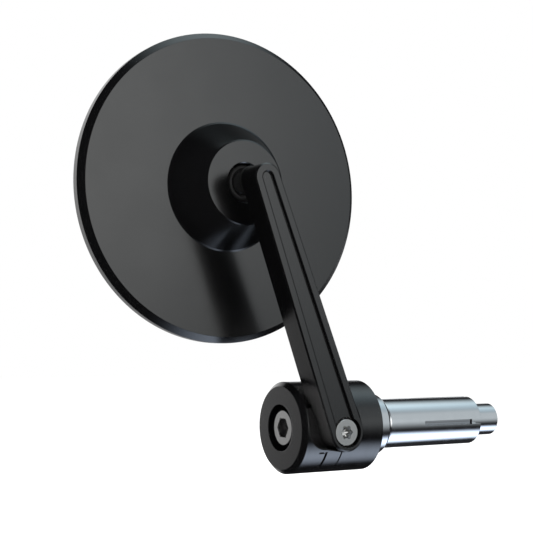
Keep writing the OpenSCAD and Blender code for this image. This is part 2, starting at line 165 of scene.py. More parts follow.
def cutAway(piece, cutters):
    for cutter in cutters:
        cut = piece.modifiers.new("cut", "BOOLEAN")
        cut.operation = "DIFFERENCE"
        cut.solver = "EXACT"
        cut.object = cutter
    settle(piece)
    for cutter in cutters:
        bpy.data.objects.remove(cutter)
    return piece


def finishPiece(piece, material, body, node=None, sharp=28):
    mesh = piece.data
    mesh.materials.clear()
    mesh.materials.append(material)
    mesh.shade_smooth()
    mesh.set_sharp_from_angle(angle=math.radians(sharp))
    if node:
        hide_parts(node)
    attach(piece, body)
    print("made", piece.name, len(mesh.polygons), "faces")
    return piece


# Materials

def newGroup(name, inputs, outputs):
    group = bpy.data.node_groups.new(name, "ShaderNodeTree")
    for label, kind, default in inputs:
        socket = group.interface.new_socket(name=label, in_out="INPUT", socket_type=kind)
        if default is not None:
            socket.default_value = default
    for label, kind in outputs:
        group.interface.new_socket(name=label, in_out="OUTPUT", socket_type=kind)
    return group, group.nodes.new("NodeGroupInput"), group.nodes.new("NodeGroupOutput")


def mathNode(tree, operation, *values):
    node = tree.nodes.new("ShaderNodeMath")
    node.operation = operation
    for socket, value in zip(node.inputs, values):
        if isinstance(value, bpy.types.NodeSocket):
            tree.links.new(value, socket)
        else:
            socket.default_value = value
    return node.outputs[0]


def latheMarksGroup():
    # fine turning marks round the local Z axis; the vector comes in millimetres
    group, start, end = newGroup(
        "latheMarks",
        [("Vector", "NodeSocketVector", None), ("Pitch", "NodeSocketFloat", 0.35)],
        [("Height", "NodeSocketFloat"), ("Sheen", "NodeSocketFloat")])
    split = group.nodes.new("ShaderNodeSeparateXYZ")
    group.links.new(start.outputs["Vector"], split.inputs[0])
    radius = mathNode(group, "SQRT", mathNode(
        group, "ADD",
        mathNode(group, "MULTIPLY", split.outputs[0], split.outputs[0]),
        mathNode(group, "MULTIPLY", split.outputs[1], split.outputs[1])))
    for label, stretch, seedShift in (("Height", 1.0, 0.0), ("Sheen", 6.0, 40.0)):
        pitch = mathNode(group, "MULTIPLY", start.outputs["Pitch"], stretch)
        place = group.nodes.new("ShaderNodeCombineXYZ")
        group.links.new(mathNode(group, "DIVIDE", radius, pitch), place.inputs[0])
        along = mathNode(group, "DIVIDE", split.outputs[2], pitch)
        group.links.new(mathNode(group, "ADD", along, seedShift), place.inputs[1])
        noise = group.nodes.new("ShaderNodeTexNoise")
        noise.noise_dimensions = "2D"
        noise.inputs["Scale"].default_value = 1
        noise.inputs["Detail"].default_value = 2
        group.links.new(place.outputs[0], noise.inputs["Vector"])
        group.links.new(noise.outputs["Fac"], end.inputs[label])
    return group


def blastedGrainGroup():
    # the fine pits of a blasted surface and slow clouds of gloss
    group, start, end = newGroup(
        "blastedGrain",
        [("Vector", "NodeSocketVector", None), ("Grain", "NodeSocketFloat", 0.18),
         ("Cloud", "NodeSocketFloat", 14.0)],
        [("Height", "NodeSocketFloat"), ("Sheen", "NodeSocketFloat")])
    for label, source, detail in (("Height", "Grain", 1), ("Sheen", "Cloud", 3)):
        noise = group.nodes.new("ShaderNodeTexNoise")
        noise.inputs["Detail"].default_value = detail
        group.links.new(start.outputs["Vector"], noise.inputs["Vector"])
        group.links.new(mathNode(group, "DIVIDE", 1.0, start.outputs[source]), noise.inputs["Scale"])
        group.links.new(noise.outputs["Fac"], end.inputs[label])
    return group


groups = {"lathe": latheMarksGroup(), "blasted": blastedGrainGroup()}

# Every finish: colour and its spread, metallic, roughness and its spread, specular level,
# depth of the bump in millimetres and the pattern that drives them
finishes = {
    "anodisedBlack": dict(colour=(0.0012, 0.0012, 0.0013), shade=0.10, metallic=0.0, rough=0.20, spread=0.03,
                          specular=1.0, bump=0.0012, pattern="blasted"),
    "turnedBlack": dict(colour=(0.0012, 0.0012, 0.0013), shade=0.10, metallic=0.0, rough=0.17, spread=0.03,
                        specular=1.0, bump=0.0006, pattern="lathe"),
    "turnedAluminium": dict(colour=(0.80, 0.82, 0.84), shade=0.02, metallic=1.0, rough=0.12, spread=0.02,
                            specular=0.5, bump=0.0012, pattern="lathe"),
    "screwSteel": dict(colour=(0.64, 0.64, 0.63), shade=0.04, metallic=1.0, rough=0.22, spread=0.04,
                       specular=0.5, bump=0.003, pattern="lathe"),
    "blackSteel": dict(colour=(0.004, 0.004, 0.004), shade=0.10, metallic=0.0, rough=0.20, spread=0.03,
                       specular=0.35, bump=0.002, pattern="lathe"),
    "bushBrass": dict(colour=(0.71, 0.52, 0.22), shade=0.05, metallic=1.0, rough=0.28, spread=0.06,
                      specular=0.5, bump=0.008, pattern="lathe"),
    "slidePlastic": dict(colour=(0.76, 0.75, 0.70), shade=0.04, metallic=0.0, rough=0.46, spread=0.05,
                         specular=0.4, bump=0.010, pattern="blasted"),
    "seatPlastic": dict(colour=(0.010, 0.010, 0.010), shade=0.08, metallic=0.0, rough=0.42, spread=0.05,
                        specular=0.2, bump=0.010, pattern="blasted"),
    "padFoam": dict(colour=(0.020, 0.020, 0.021), shade=0.20, metallic=0.0, rough=0.85, spread=0.08,
                    specular=0.2, bump=0.05, pattern="blasted"),
    "mirrorSilver": dict(colour=(0.86, 0.89, 0.93), shade=0.01, metallic=1.0, rough=0.015, spread=0.01,
                         specular=0.5, bump=0.0, pattern="blasted"),
}


def makeFinish(name, look, centre=(0, 0, 0), turn=(0, 0, 0), pitch=0.35, grain=0.18):
    # centre (mm) and turn (degrees) lay the pattern's Z axis on the piece's own axis
    material = bpy.data.materials.new(name)
    material.use_nodes = True
    tree = material.node_tree
    tree.nodes.clear()
    output = tree.nodes.new("ShaderNodeOutputMaterial")
    shader = tree.nodes.new("ShaderNodeBsdfPrincipled")
    tree.links.new(shader.outputs[0], output.inputs[0])
    shader.inputs["Metallic"].default_value = look["metallic"]
    shader.inputs["Specular IOR Level"].default_value = look["specular"]
    coordinates = tree.nodes.new("ShaderNodeTexCoord")
    mapping = tree.nodes.new("ShaderNodeMapping")
    mapping.vector_type = "TEXTURE"
    mapping.inputs["Location"].default_value = [c * 0.001 for c in centre]
    mapping.inputs["Rotation"].default_value = [math.radians(t) for t in turn]
    mapping.inputs["Scale"].default_value = (0.001, 0.001, 0.001)
    tree.links.new(coordinates.outputs["Object"], mapping.inputs["Vector"])
    pattern = tree.nodes.new("ShaderNodeGroup")
    pattern.node_tree = groups[look["pattern"]]
    tree.links.new(mapping.outputs[0], pattern.inputs["Vector"])
    if look["pattern"] == "lathe":
        pattern.inputs["Pitch"].default_value = pitch
    else:
        pattern.inputs["Grain"].default_value = grain
    # the noise seldom leaves the middle half of its range
    rough = tree.nodes.new("ShaderNodeMapRange")
    rough.inputs["From Min"].default_value = 0.25
    rough.inputs["From Max"].default_value = 0.75
    rough.inputs["To Min"].default_value = max(look["rough"] - look["spread"], 0.005)
    rough.inputs["To Max"].default_value = look["rough"] + look["spread"]
    tree.links.new(pattern.outputs["Sheen"], rough.inputs["Value"])
    tree.links.new(rough.outputs[0], shader.inputs["Roughness"])
    tint = tree.nodes.new("ShaderNodeMix")
    tint.data_type = "RGBA"
    tint.inputs["A"].default_value = (*[c * (1 - look["shade"]) for c in look["colour"]], 1)
    tint.inputs["B"].default_value = (*[min(c * (1 + look["shade"]), 1) for c in look["colour"]], 1)
    tree.links.new(pattern.outputs["Sheen"], tint.inputs["Factor"])
    tree.links.new(tint.outputs["Result"], shader.inputs["Base Color"])
    if look["bump"] > 0:
        bump = tree.nodes.new("ShaderNodeBump")
        bump.inputs["Strength"].default_value = 1
        bump.inputs["Distance"].default_value = look["bump"] * 0.001
        tree.links.new(pattern.outputs["Height"], bump.inputs["Height"])
        tree.links.new(bump.outputs[0], shader.inputs["Normal"])
    return material


def ramp(tree, value, low, high):
    # 0 at low and 1 at high, in the units of the value
    soft = tree.nodes.new("ShaderNodeMapRange")
    soft.interpolation_type = "SMOOTHSTEP"
    soft.inputs["From Min"].default_value = low
    soft.inputs["From Max"].default_value = high
    tree.links.new(value, soft.inputs["Value"])
    return soft.outputs[0]


def dotNode(tree, value, direction, shift=0.0):
    dot = tree.nodes.new("ShaderNodeVectorMath")
    dot.operation = "DOT_PRODUCT"
    dot.inputs[1].default_value = direction
    tree.links.new(value, dot.inputs[0])
    return mathNode(tree, "SUBTRACT", dot.outputs["Value"], shift)


def paintedShadingPatch(material, s):
    # paints light or shade into the base colour: a patch mixed towards a given grey, chosen by the way a face
    # looks, by its distance from a start point and by its height, in millimetres
    tree = material.node_tree
    shader = next(node for node in tree.nodes if node.bl_idname == "ShaderNodeBsdfPrincipled")
    coordinates = tree.nodes.new("ShaderNodeTexCoord")
    toward = Vector(s["toward"])
    slanted, square = 0.6, 0.85
    faces = ramp(tree, dotNode(tree, coordinates.outputs["Normal"], s["facing"]), slanted, square)
    away = dotNode(tree, coordinates.outputs["Object"], toward, toward.dot(Vector(s["start"])) * 0.001)
    reach = mathNode(tree, "MULTIPLY", ramp(tree, away, s["near"] * 0.001, s["far"] * 0.001),
                     mathNode(tree, "LESS_THAN", away, s["end"] * 0.001))
    height = dotNode(tree, coordinates.outputs["Object"], (0, 0, 1))
    below = ramp(tree, height, s["high"] * 0.001, (s["high"] - s["highFade"]) * 0.001)
    above = ramp(tree, height, s["low"] * 0.001, (s["low"] + s["lowFade"]) * 0.001)
    band = mathNode(tree, "MULTIPLY", below, above)
    mask = mathNode(tree, "MULTIPLY", mathNode(tree, "MULTIPLY", faces, reach), band)
    mix = tree.nodes.new("ShaderNodeMix")
    mix.data_type = "RGBA"
    tree.links.new(mask, mix.inputs["Factor"])
    tree.links.new(shader.inputs["Base Color"].links[0].from_socket, mix.inputs["A"])
    mix.inputs["B"].default_value = (*s["colour"], 1)
    tree.links.new(mix.outputs["Result"], shader.inputs["Base Color"])
    return material


# Places, taken from the frame

headMiddle = middle("mirror_housing")
pivotMiddle = middle("pivot_screw")
headLow, headHigh = span("mirror_housing")
weightLow, weightHigh = span("bar_end_weight")
armLow, armHigh = span("mirror_arm")
barTurn, frontTurn = (0, 90, 0), (90, 0, 0)
headCentre = (headMiddle.x, 0, headMiddle.z)
pivotCentre = (pivotMiddle.x, 0, pivotMiddle.z)
lean = math.atan2(pivotMiddle.x - headMiddle.x, headMiddle.z - pivotMiddle.z)

# Mirror housing

housing = {
    "rimHeight": 2.7, "rimWall": 1.6, "rimEdge": 0.3, "bevel": 1.8, "bevelEdge": 0.12,
    "bossBase": 18.5, "bossTip": 12.0, "bossHeight": 11.2,
    "baseBreak": 0.32, "tipBreak": 0.26, "breakEdge": 0.03,
    "opening": 5.5, "openingBreak": 0.3, "openingEdge": 0.05, "socket": 6.1, "ballInset": 4.5,
    "cover": 13.5, "coverDepth": 1.4,
}
headRadius = (headHigh.x - headLow.x) / 2
headPlane = headHigh.y - housing["rimHeight"]


def makeHousing(s):
    front = s["bevel"] + s["bossHeight"]
    ballAt = front - s["ballInset"]
    lipAngle = math.degrees(math.acos(s["opening"] / s["socket"]))
    slope = Vector((s["bossBase"] - s["bossTip"], s["bossHeight"])).normalized()
    baseCone, tipCone = slope * s["baseBreak"], slope * s["tipBreak"]
    rimInside, bevel = headRadius - s["rimWall"], s["bevel"]
    opening, softening = s["opening"], s["openingBreak"]
    corners = [
        (s["socket"], s["coverDepth"], 0), (s["cover"], s["coverDepth"]), (s["cover"], 0),
        (rimInside, 0), (rimInside, -s["rimHeight"]), (headRadius, -s["rimHeight"], s["rimEdge"]),
        (headRadius, 0, s["bevelEdge"]), (headRadius - bevel, bevel, s["bevelEdge"]),
        (s["bossBase"] + s["baseBreak"], bevel, s["breakEdge"]),
        (s["bossBase"] - baseCone.x, bevel + baseCone.y, s["breakEdge"]),
        (s["bossTip"] + tipCone.x, front - tipCone.y, s["breakEdge"]),
        (s["bossTip"] - s["tipBreak"], front, s["breakEdge"]),
        (opening + softening, front, s["openingEdge"]), (opening, front - softening, s["openingEdge"]),
    ] + arcPoints(0, ballAt, s["socket"], lipAngle, 0, 6)
    place = upright(headMiddle.x, headPlane, headMiddle.z)
    return turned("mirrorHousing", corners, place, edge=0.1, points=240, steps=5, loop=True)


housingFinish = makeFinish("housingBlack", finishes["anodisedBlack"], headCentre, frontTurn)
finishPiece(makeHousing(housing), housingFinish, "head", "mirror_housing")

# Arm

arm = {
    "root": 5.35, "tip": 3.95, "length": 74.3, "chamfer": 0.4, "border": 2.2, "lip": 0.16, "groove": 0.8,
    "grooveFloor": 0.9, "backFace": 2.4, "bush": 3.05, "web": 3.9, "tongue": 6.1, "tongueLength": 10.1,
    "counterbore": 4.3, "counterboreBreak": 0.05, "turns": 48, "straights": 30,
}
# The flank that stands in the pocket: painted light, a grey lighter than the black finish in place of the
# light that reaches the flank there
armPaintedLight = {
    "facing": (-1, 0, 0), "toward": (-math.cos(lean), 0, -math.sin(lean)), "start": pivotMiddle,
    "near": 0.0, "far": 1.0, "end": 7.0, "low": -6.5, "lowFade": 6.0, "high": 13.5, "highFade": 3.0,
    "colour": (0.023, 0.023, 0.023),
}


def armRing(s, inset, height):
    # outline of two circles joined by their tangents, moved inwards by inset
    r0, r1, length = s["root"] - inset, s["tip"] - inset, s["length"]
    flare = math.degrees(math.asin((s["root"] - s["tip"]) / length))
    root = arcPoints(0, 0, r0, 180 - flare, 360 + flare, s["turns"])
    tip = arcPoints(0, length, r1, flare, 180 - flare, s["turns"])
    made = []
    for here, there in ((root, tip), (tip, root)):
        start, end = Vector(here[-1][:2]), Vector(there[0][:2])
        made += [Vector(p[:2]) for p in here]
        made += [start.lerp(end, k / s["straights"]) for k in range(1, s["straights"])]
    return [(p.x, p.y, height) for p in made]


def makeArm(s):
    front, depth = -armLow.y, armHigh.y - armLow.y
    back = front - depth
    edge, lip, floor = s["chamfer"], s["lip"], front - s["groove"]
    profile = softCorners([
        (s["backFace"], back, 0), (edge, back), (0, back + edge), (0, front - edge), (edge, front),
        (s["border"] - lip, front, 0), (s["border"] + lip, front - lip, 0),
        (s["border"] + lip, floor, 0.1), (s["border"] + s["grooveFloor"], floor, 0),
    ], edge=0.08, steps=2, loop=False, guard=0.04)
    place = upright(pivotMiddle.x, 0, pivotMiddle.z) @ Matrix.Rotation(lean, 4, "Z")
    piece = skinRings("mirrorArm", [armRing(s, inset, height) for inset, height in profile], place)
    web, over = front - s["web"], 0.6
    mouth = front - s["counterboreBreak"]
    counterbore = turned("counterboreCutter", [
        (0, web), (s["counterbore"], web), (s["counterbore"], mouth, 0.02),
        (s["counterbore"] + over, mouth + over), (0, mouth + over)], place, edge=0.08, points=96)
    low, high = back - 2, web + 1
    bushHole = turned("bushCutter", [
        (0, low), (s["bush"], low, 0), (s["bush"], high, 0), (0, high)], place, edge=0, points=96)
    wide, deep = 30, 6
    shift = (0, s["tongueLength"] - wide / 2, front - s["tongue"] - deep / 2)
    tongue = blockAt("tongueCutter", place, (wide, wide, deep), shift)
    return cutAway(piece, [counterbore, bushHole, tongue])


# the arm's finish gets painted light on its flank in the pocket
armFinish = paintedShadingPatch(makeFinish("armBlack", finishes["anodisedBlack"]), armPaintedLight)
finishPiece(makeArm(arm), armFinish, "arm", "mirror_arm", sharp=20)

# Bar end weight

weight = {
    "outerChamfer": 1.3, "innerChamfer": 0.3, "counterbore": 6.5, "counterboreDepth": 8.5, "boltHole": 3.3,
    "spigot": 6.05, "spigotDepth": 5.2, "pocketRadius": 5.65, "pocketLeft": 12.25, "pocketTop": 26,
    "pocketCorner": 6.5, "cornerRise": 0.9, "stop": 10, "floor": 7.6, "deepFloor": 5.3, "deepFrom": 6.65,
}
# The floor of the pocket, beside the arm: painted light, a grey lighter than the black finish in place of the
# light on that floor
weightPaintedLight = {
    "facing": (0, -1, 0), "toward": (0, 1, 0), "start": (0, -weight["floor"], 0),
    "near": -0.6, "far": -0.3, "end": 4.0, "low": -7.5, "lowFade": 6.0, "high": 14.0, "highFade": 3.0,
    "colour": (0.025, 0.025, 0.025),
}
# Setting marks: from and to along the bar from the outer face, from and to in degrees below the front
settingMarks = {
    "tick": (5.9, 8.6, 28.6, 31.0),
    "line": (7.85, 8.6, 28.6, 53.6),
    "thinLine": (13.15, 13.6, 29.6, 54.8),
}
markDepth = 0.45


def pocketRing(s, height):
    # a round end for the arm, a sloping stop on the bar's side and a round outer corner, open at the top
    r, left, corner, top = s["pocketRadius"], s["pocketLeft"], s["pocketCorner"], s["pocketTop"]
    stop = math.radians(s["stop"])
    made = arcPoints(0, 0, r, -90, s["stop"], 40)
    wall = Vector(made[-1][:2]) + Vector((-math.sin(stop), math.cos(stop))) * top
    made += [(wall.x, wall.y, 0), (-left, top, 0)]
    made += arcPoints(corner - left, corner - r + s["cornerRise"], corner, 180, 270, 32)
    return [(x, y, height) for x, y, _ in made]


def deepPocketRing(s, height):
    r, stop = s["pocketRadius"], math.radians(s["stop"])

    def wallAt(y):
        return r * math.cos(stop) - (y - r * math.sin(stop)) * math.tan(stop)

    low, high = s["deepFrom"], s["pocketTop"]
    return [(-s["pocketLeft"], low, height), (wallAt(low), low, height), (wallAt(high), high, height),
            (-s["pocketLeft"], high, height)]


def markCutter(radius, start, end, low, high):
    steps, inner, outer = 24, radius - markDepth, radius + 1
    rings = []
    for k in range(steps + 1):
        t = math.radians(low + (high - low) * k / steps)
        around = Vector((0, -math.cos(t), -math.sin(t)))
        rings.append([Vector((x, 0, 0)) + around * r
                      for x, r in ((start, inner), (start, outer), (end, outer), (end, inner))])
    return skinRings("markCutter", rings, toMetres @ Matrix.Translation((weightLow.x, 0, 0)))


def makeWeight(s):
    radius, length = (weightHigh.z - weightLow.z) / 2, weightHigh.x - weightLow.x
    body = turned("barEndWeight", [
        (s["boltHole"], s["counterboreDepth"]), (s["counterbore"], s["counterboreDepth"]),
        (s["counterbore"], 0, 0.2), (radius - s["outerChamfer"], 0, 0.12), (radius, s["outerChamfer"], 0.12),
        (radius, length - s["innerChamfer"], 0.1), (radius - s["innerChamfer"], length, 0.1),
        (s["spigot"], length, 0.15), (s["spigot"], length - s["spigotDepth"]),
        (s["boltHole"], length - s["spigotDepth"]),
    ], alongBar(weightLow.x), edge=0.1, points=224, loop=True)
    place = upright(pivotMiddle.x, 0, pivotMiddle.z)
    over = radius + 7
    shallow = skinRings("pocketCutter", [pocketRing(s, s["floor"]), pocketRing(s, over)], place)
    deep = skinRings("deepPocketCutter", [deepPocketRing(s, s["deepFloor"]), deepPocketRing(s, over)], place)
    return cutAway(body, [shallow, deep] + [markCutter(radius, *mark) for mark in settingMarks.values()])


# the weight's finish gets painted light on the pocket floor beside the arm
weightFinish = paintedShadingPatch(makeFinish("weightBlack", finishes["turnedBlack"], (0, 0, 0), barTurn), weightPaintedLight)
finishPiece(makeWeight(weight), weightFinish, "weight", "bar_end_weight")

# Insert sleeve

sleeve = {
    "radius": 7.25, "length": 34.4, "chamfer": 0.3,
    "shoulderLength": 6.7, "shoulderRadius": 9.2, "shoulderEnd": 8.85, "bevel": 0.4, "bevelFrom": 1.6,
    "footLength": 0.9, "relief": 0.11, "reliefFrom": -0.1, "reliefTo": 0.5,
    "spigotRadius": 6.0, "spigotLength": 5.0,
    "bore": 3.3, "taperFrom": 10.4, "taperSmall": 4.15, "coneFrom": 32.1, "taperLarge": 4.5,
    "coneTo": 32.65, "plug": 4.9, "slotCount": 4, "slotWidth": 1.5, "slotLength": 21.8,
}


def makeSleeve(s):
    shoulder, spigotEnd = -s["shoulderLength"], -s["shoulderLength"] - s["spigotLength"]
    foot, relieved = -s["footLength"], s["radius"] - s["relief"]
    piece = turned("insertSleeve", [
        (s["bore"], spigotEnd), (s["spigotRadius"], spigotEnd), (s["spigotRadius"], shoulder, 0.05),
        (s["shoulderRadius"], shoulder), (s["shoulderEnd"], -s["bevelFrom"]),
        (s["shoulderEnd"] - s["bevel"], foot, 0.06), (relieved, foot, 0.02),
        (relieved, s["reliefFrom"], 0.02), (s["radius"], s["reliefTo"], 0.02),
        (s["radius"], s["length"] - s["chamfer"]), (s["radius"] - s["chamfer"], s["length"]),
        (s["plug"], s["length"], 0.08), (s["plug"], s["coneTo"], 0.05),
        (s["taperLarge"], s["coneFrom"], 0.05), (s["taperSmall"], s["taperFrom"], 0.05),
        (s["bore"], s["taperFrom"], 0.05),
    ], alongBar(0), edge=0.1, points=192, loop=True)
    size = (s["slotLength"] + 1, s["radius"] + 2, s["slotWidth"])
    shift = (s["length"] - s["slotLength"] + size[0] / 2, -size[1] / 2, 0)
    cutters = []
    for k in range(s["slotCount"]):
        turn = toMetres @ Matrix.Rotation(2 * math.pi * k / s["slotCount"], 4, "X")
        cutters.append(blockAt("slotCutter", turn, size, shift))
    return cutAway(piece, cutters)


brightBar = makeFinish("turnedBright", finishes["turnedAluminium"], (0, 0, 0), barTurn)
finishPiece(makeSleeve(sleeve), brightBar, "insert", "insert_sleeve", sharp=9)

# Expander wedge, with the turns of thread that show in its mouth

wedge = {
    "from": 10.6, "small": 4.1, "coneFrom": 32.1, "large": 4.45, "coneTo": 32.65, "plug": 4.85, "to": 43.3,
    "chamfer": 0.4, "bore": 3.05, "mouthBreak": 0.3,
}
threadTurns = {
    "Count": 4, "Pitch": 1.0, "from": 39.4, "depth": 0.45, "crest": 0.12, "rootHalf": 0.45, "sunk": 0.03,
}


def makeWedge(s):
    return turned("expanderWedge", [
        (s["bore"], s["from"]), (s["small"], s["from"]), (s["large"], s["coneFrom"], 0.05),
        (s["plug"], s["coneTo"], 0.08), (s["plug"], s["to"] - s["chamfer"]),
        (s["plug"] - s["chamfer"], s["to"]), (s["bore"] + s["mouthBreak"], s["to"]),
        (s["bore"], s["to"] - s["mouthBreak"]),
    ], alongBar(0), edge=0.08, points=144, loop=True)


def repeatTree(name):
    # copies of the incoming ring along the bar, joined to one plain mesh
    tree = bpy.data.node_groups.new(name, "GeometryNodeTree")
    for label, kind in (
            ("Ring", "NodeSocketGeometry"), ("Count", "NodeSocketInt"), ("Pitch", "NodeSocketFloat"),
            ("Material", "NodeSocketMaterial")):
        tree.interface.new_socket(name=label, in_out="INPUT", socket_type=kind)
    tree.interface.new_socket(name="Turns", in_out="OUTPUT", socket_type="NodeSocketGeometry")
    start, end = tree.nodes.new("NodeGroupInput"), tree.nodes.new("NodeGroupOutput")
    step = tree.nodes.new("ShaderNodeCombineXYZ")
    tree.links.new(start.outputs["Pitch"], step.inputs[0])
    line = tree.nodes.new("GeometryNodeMeshLine")
    tree.links.new(start.outputs["Count"], line.inputs["Count"])
    tree.links.new(step.outputs[0], line.inputs["Offset"])
    copies = tree.nodes.new("GeometryNodeInstanceOnPoints")
    tree.links.new(line.outputs[0], copies.inputs["Points"])
    tree.links.new(start.outputs["Ring"], copies.inputs["Instance"])
    joined = tree.nodes.new("GeometryNodeRealizeInstances")
    tree.links.new(copies.outputs[0], joined.inputs[0])
    dressed = tree.nodes.new("GeometryNodeSetMaterial")
    tree.links.new(joined.outputs[0], dressed.inputs["Geometry"])
    tree.links.new(start.outputs["Material"], dressed.inputs["Material"])
    tree.links.new(dressed.outputs[0], end.inputs[0])
    return tree


def makeThreadTurns(s, bore, material):
    foot, top, half = bore + s["sunk"], bore - s["depth"], s["Pitch"] * s["rootHalf"]
    ring = turned("threadTurns", [
        (foot, -half, 0), (top, -s["crest"] / 2, 0.03), (top, s["crest"] / 2, 0.03), (foot, half, 0),
    ], alongBar(s["from"]), edge=0.03, points=96, steps=1, loop=True)
    tree = repeatTree("threadRow")
    row = ring.modifiers.new("row", "NODES")
    row.node_group = tree
    inputs = {"Count": s["Count"], "Pitch": s["Pitch"] * 0.001, "Material": material}
    for item in tree.interface.items_tree:
        if item.in_out == "INPUT" and item.name in inputs:
            row[item.identifier] = inputs[item.name]
    return settle(ring)


# The taper, where it shows in the front slot: painted shade, a darker grey in place of the shade inside the
# slot
wedgePaintedShade = {
    "facing": (0, -1, 0), "toward": (-1, 0, 0), "start": (33.0, 0, 0),
    "near": 0.0, "far": 0.8, "end": 30.0, "low": -10.0, "lowFade": 6.0, "high": 12.0, "highFade": 3.0,
    "colour": (0.42, 0.43, 0.45),
}
# the wedge's finish gets painted shade where the taper shows in the slot
wedgeFinish = paintedShadingPatch(makeFinish("wedgeBright", finishes["turnedAluminium"], (0, 0, 0), barTurn), wedgePaintedShade)
finishPiece(makeWedge(wedge), wedgeFinish, "wedge", "expander_wedge")
finishPiece(makeThreadTurns(threadTurns, wedge["bore"], brightBar), brightBar, "wedge")

# Clamp bolt

bolt = {
    "headRadius": 5.0, "headHeight": 6.0, "headBreak": 0.2, "radius": 3.0, "endBreak": 0.6,
    "hex": 5.0, "hexDepth": 3.0, "drillPoint": 0.8, "hexBorder": 0.9, "points": 144,
    "leadIn": ((0, 0.35), (0.12, 0.1), (0.3, 0)),
}


def hexRing(acrossFlats, height, points, turn):
    made = []
    for k in range(points):
        t = 2 * math.pi * k / points
        r = acrossFlats / 2 / math.cos((t - turn) % (math.pi / 3) - math.pi / 6)
        made.append((r * math.cos(t), r * math.sin(t), height))
    return made


def makeBolt(s):
    points, head, shank, headBreak = s["points"], s["headRadius"], s["radius"], s["headBreak"]
    low, high = span("clamp_bolt")
    end = high.x - low.x
    outside = softCorners([
        (s["hex"] / 2 + s["hexBorder"], 0), (head - headBreak, 0), (head, headBreak), (head, s["headHeight"]),
        (shank, s["headHeight"]), (shank, end - s["endBreak"]), (shank - s["endBreak"], end), (0, end),
    ], edge=0.1, steps=3, loop=False)
    # a corner of the hexagon points to the front
    turn = math.radians(90)
    inside = [[(0, 0, s["hexDepth"] + s["drillPoint"])]]
    inside += [hexRing(s["hex"] + wider, depth, points, turn)
               for wider, depth in ((0, s["hexDepth"]), *s["leadIn"])]
    return skinRings("clampBolt", inside + [circleRing(r, h, points) for r, h in outside], alongBar(low.x))


steelBar = makeFinish("steelOnBar", finishes["screwSteel"], (0, 0, 0), barTurn)
finishPiece(makeBolt(bolt), steelBar, "bolt", "clamp_bolt")

# Pivot screw

pivotScrew = {
    "headRadius": 3.75, "headHeight": 2.4, "headBreak": 0.15, "radius": 2.0, "endBreak": 0.3,
    "star": 3.8, "starDepth": 1.5, "starTaper": 0.45, "drillPoint": 0.4, "starBorder": 0.45, "points": 144,
    "leadIn": ((0.12, 0), (0, 0.1)),
}


def starRing(size, height, points, grow=0.0):
    made = []
    for k in range(points):
        t = 2 * math.pi * k / points
        r = size / 2 * (0.88 + 0.12 * math.cos(6 * t)) + grow
        made.append((r * math.cos(t), r * math.sin(t), height))
    return made


def makePivotScrew(s):
    points, head, shank, headBreak = s["points"], s["headRadius"], s["radius"], s["headBreak"]
    low, high = span("pivot_screw")
    end = low.y - high.y
    inside = [[(0, 0, -s["starDepth"] - s["drillPoint"])]]
    inside += [starRing(s["star"], -depth, points, grow)
               for depth, grow in ((s["starDepth"], -s["starTaper"]), *s["leadIn"])]
    outside = softCorners([
        (s["star"] / 2 + s["starBorder"], 0), (head - headBreak, 0), (head, -headBreak),
        (head, -s["headHeight"]), (shank, -s["headHeight"]), (shank, end + s["endBreak"]),
        (shank - s["endBreak"], end), (0, end),
    ], edge=0.1, steps=3, loop=False)
    rings = inside + [circleRing(r, h, points) for r, h in outside]
    return skinRings("pivotScrew", rings, upright(pivotMiddle.x, low.y, pivotMiddle.z))


steelPivot = makeFinish("steelAtPivot", finishes["screwSteel"], pivotCentre, frontTurn)
finishPiece(makePivotScrew(pivotScrew), steelPivot, "weight", "pivot_screw")

# Ball stud

stud = {
    "ball": 5.0, "neck": 2.3, "collar": 4.2, "collarThick": 1.2, "thread": 2.5, "threadLength": 5.2,
    "endBreak": 0.5, "rootWidth": 0.9, "rootLength": 1.6, "flat": 0.5,
}


def makeStud(s):
    low, high = span("ball_stud")
    ballAt = high.y - s["ball"]
    back = low.y + s["threadLength"] - ballAt
    neckAngle = -math.degrees(math.acos(s["neck"] / s["ball"]))
    end, collarTop = back - s["threadLength"], back + s["collarThick"]
    corners = [
        (0, end), (s["thread"] - s["endBreak"], end), (s["thread"], end + s["endBreak"]),
        (s["thread"], back), (s["collar"], back, 0.1), (s["collar"], collarTop, 0.15),
        (s["neck"] + s["rootWidth"], collarTop, 0.3), (s["neck"], collarTop + s["rootLength"], 0.6),
    ] + arcPoints(0, 0, s["ball"], neckAngle, 90, 40)
    corners[-1] = (0, s["ball"])
    place = toMetres @ Matrix.Translation((headMiddle.x, ballAt, headMiddle.z))
    place = place @ Matrix.Rotation(math.radians(-90), 4, "X")
    piece = turned("ballStud", corners, place, edge=0.1, points=128)
    # two flats on the collar, for a spanner
    flats = place @ Matrix.Rotation(lean, 4, "Z")
    size = (20, 5, s["collarThick"] + 0.02)
    away, height = s["collar"] - s["flat"] + size[1] / 2, back + s["collarThick"] / 2
    return cutAway(piece, [blockAt("flatCutter", flats, size, (0, side * away, height)) for side in (-1, 1)])


studFinish = makeFinish("studBlack", finishes["blackSteel"], headCentre, frontTurn)
finishPiece(makeStud(stud), studFinish, "arm", "ball_stud")

# Mirror glass

glass = {"radius": 43.1, "thick": 2.0, "curve": 1000.0, "edgeAt": 0.5, "ground": 0.35, "steps": 16}


